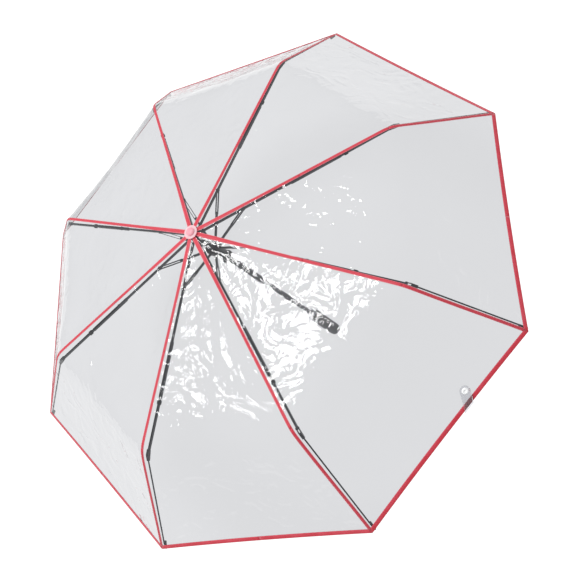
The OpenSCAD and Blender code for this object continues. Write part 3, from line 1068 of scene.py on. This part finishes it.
@dataclass
class FoldingFrame:
    """Eight ribs of three lengths each, with their stretchers."""

    kinds: Tuple[str, ...] = ("main_rib", "stretcher", "middle_rib", "outer_rib")
    turns: int = 7
    pitch: float = 0.78 * MM
    thread: float = 0.42 * MM
    wide: float = 2.7 * MM
    low: float = -2.75 * MM
    high: float = 1.65 * MM

    def build(self) -> None:
        """Dresses the ribs and stretchers, and ties the film to the middle ribs."""
        for kind in self.kinds:
            dress([f"{kind}_{k}" for k in range(1, RIBS + 1)], LACQUER)
            LOG.info("%s: %d pieces", kind, RIBS)
        hinge = {j["name"]: j["pos_m"] for j in frame["joints"] if "pos_m" in j}
        for k in range(1, RIBS + 1):
            self.tie(k, Vector(hinge[f"middle_hinge_{k}"]), Vector(hinge[f"knee_hinge_{k}"]))
        LOG.info("film_tie: %d pieces", RIBS)

    def tie(self, rib: int, start: Vector, end: Vector) -> None:
        """Whips black thread round a middle rib, over the stud that holds the film.

        Args:
            rib: the rib's number.
            start: the middle rib's first hinge.
            end: its hinge at the knee.
        """
        along = (end - start).normalized()
        middle = (start + end) / 2
        path = self.whipping(along, middle)
        ring = 8
        points = []
        for at in path:
            out = (at - middle - along * (at - middle).dot(along)).normalized()
            for j in range(ring):
                turn = 2 * math.pi * j / ring
                points.append(at + (out * math.cos(turn) + along * math.sin(turn)) * self.thread)
        cloth = MeshCloth()
        cloth.add(np.array(points), grid_faces(len(path), ring, closed=True))
        cloth.cap(len(path), ring, flip=True)
        piece = cloth.make(f"film_tie_{rib}", [TIE_THREAD])
        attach(piece, f"middle_rib_{rib}")

    def whipping(self, along: Vector, middle: Vector) -> List[Vector]:
        """The thread's path round the rib's channel.

        Args:
            along: the rib's direction.
            middle: the stud's place.

        Returns:
            Points from the first turn to the last.
        """
        across = Vector((0, 0, 1)).cross(along).normalized()
        up = along.cross(across)
        around, squareness = 22, 5
        path = []
        for i in range(self.turns * around + 1):
            angle = 2 * math.pi * i / around
            c, s = math.cos(angle), math.sin(angle)
            square = (abs(c) ** squareness + abs(s) ** squareness) ** (-1 / squareness)
            x = (i / around - self.turns / 2) * self.pitch
            y = self.wide * c * square
            z = (self.high + self.low) / 2 + (self.high - self.low) / 2 * s * square
            path.append(middle + along * x + across * y + up * z)
        return path


@dataclass
class Runner:
    """Sliding runner with its hinge wire and release button."""

    def build(self) -> None:
        """Dresses the runner's pieces."""
        dress(["runner_sleeve", "release_button"], BLACK_PLASTIC)
        dress(["runner_wire"], BRIGHT_WIRE)
        LOG.info("runner: 3 pieces")


@dataclass
class Shaft:
    """Three telescoping tubes and the ferrule."""

    def build(self) -> None:
        """Dresses the tubes."""
        dress(["upper_tube"], SHAFT_BLACK)
        dress(["tube_ferrule"], BRIGHT_WIRE)
        dress(["middle_tube", "lower_tube"], SHAFT_GREY)
        LOG.info("shaft: 4 pieces")


@dataclass
class Handle:
    """Straight handle with a collar and an end cap."""

    def build(self) -> None:
        """Dresses the handle's pieces."""
        dress(["handle_grip", "handle_cap"], HANDLE_PLASTIC)
        dress(["handle_collar"], BRIGHT_WIRE)
        LOG.info("handle: 3 pieces")


@dataclass
class Studio:
    """Pale floor, soft light and the camera, set out from the canopy's centre."""

    apex: float
    reach: float
    turn: float = math.radians(-0.9)
    stand: Colour = (1.528, 0.775, 1.974)
    look: Colour = (-0.4919, -0.2387, -0.8373)
    up: Colour = (-0.7878, 0.5314, 0.3113)
    lens: float = 50.69
    floor_gap: float = 3 * MM

    def camera(self) -> None:
        """Sets the camera up."""
        made = bpy.data.cameras.new("camera")
        made.lens = self.lens
        made.sensor_width = 36
        made.clip_start = 0.01
        made.clip_end = 50
        camera = bpy.data.objects.new("camera", made)
        bpy.context.scene.collection.objects.link(camera)
        look = Vector(self.look).normalized()
        right = look.cross(Vector(self.up)).normalized()
        up = right.cross(look)
        turn = Matrix.Rotation(self.turn, 4, "Z")
        pose = Matrix((right, up, -look)).transposed().to_4x4()
        place = Matrix.Translation(Vector((0, 0, self.apex)))
        camera.matrix_world = place @ turn @ Matrix.Translation(Vector(self.stand) * self.reach) @ pose
        bpy.context.scene.camera = camera

    def lamp(self, name: str, at: Colour, aim: Colour, size: Tuple[float, float], watts: float) -> None:
        """Adds a soft lamp.

        Args:
            name: the lamp's name.
            at: where it is, from the canopy's centre.
            aim: the point that it faces, from the same centre.
            size: its width and length.
            watts: its power.
        """
        made = bpy.data.lights.new(name, "AREA")
        made.shape = "RECTANGLE"
        made.size, made.size_y = size
        made.energy = watts
        lamp = bpy.data.objects.new(name, made)
        bpy.context.scene.collection.objects.link(lamp)
        lamp.location = Vector(at) + Vector((0, 0, self.apex))
        lamp.rotation_euler = (Vector(aim) - Vector(at)).to_track_quat("-Z", "Y").to_euler()

    def build(self) -> None:
        """Sets out the floor, the lamps and the surroundings."""
        self.camera()
        world = bpy.data.worlds.new("surroundings")
        world.use_nodes = True
        world.node_tree.nodes["Background"].inputs["Color"].default_value = (0.93, 0.95, 1.0, 1)
        world.node_tree.nodes["Background"].inputs["Strength"].default_value = 0.52
        bpy.context.scene.world = world
        bpy.context.scene.view_settings.view_transform = "Standard"
        self.lamp("softbox", (-0.22, -0.24, 2.0), (0.1, 0.03, 0), (0.80, 0.52), 41)
        self.lamp("strip_lamp", (-0.24, -0.85, 1.9), (0.1, -0.1, 0), (0.5, 0.25), 8)
        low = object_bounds()[0].z - self.floor_gap
        bpy.ops.mesh.primitive_grid_add(x_subdivisions=4, y_subdivisions=4, size=14, location=(0, 0, low))
        floor = bpy.context.active_object
        floor.name = "floor"
        floor.data.materials.append(Paper("white_paper", Slot.WHITE).material())
        floor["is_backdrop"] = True
        LOG.info("studio: camera, floor and lamps")


def canopy_shape() -> CanopyShape:
    """Reads where the canopy lies from the CAD frame.

    Returns:
        The surface that the film is cut from.
    """
    hinge = {j["name"]: j for j in frame["joints"]}
    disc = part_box("cap_disc")[0]
    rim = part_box("canopy_film")[1]
    return CanopyShape(apex=disc.z - 0.9 * MM, corner=rim.x, first_hinge=hinge["middle_hinge_8"]["pos_m"][0],
                       knee=hinge["knee_hinge_8"]["pos_m"][0])


def main() -> None:
    """Builds the studio and then every sub-assembly, from the top down."""
    logging.basicConfig(level=logging.INFO, format="%(message)s")
    shape = canopy_shape()
    Studio(shape.apex, shape.corner).build()
    parts: List[Any] = [Crown(), Canopy(shape), ClosureStrap(shape), FoldingFrame(),
                        Runner(), Shaft(), Handle()]
    for part in parts:
        part.build()


if __name__ == "__main__":
    main()
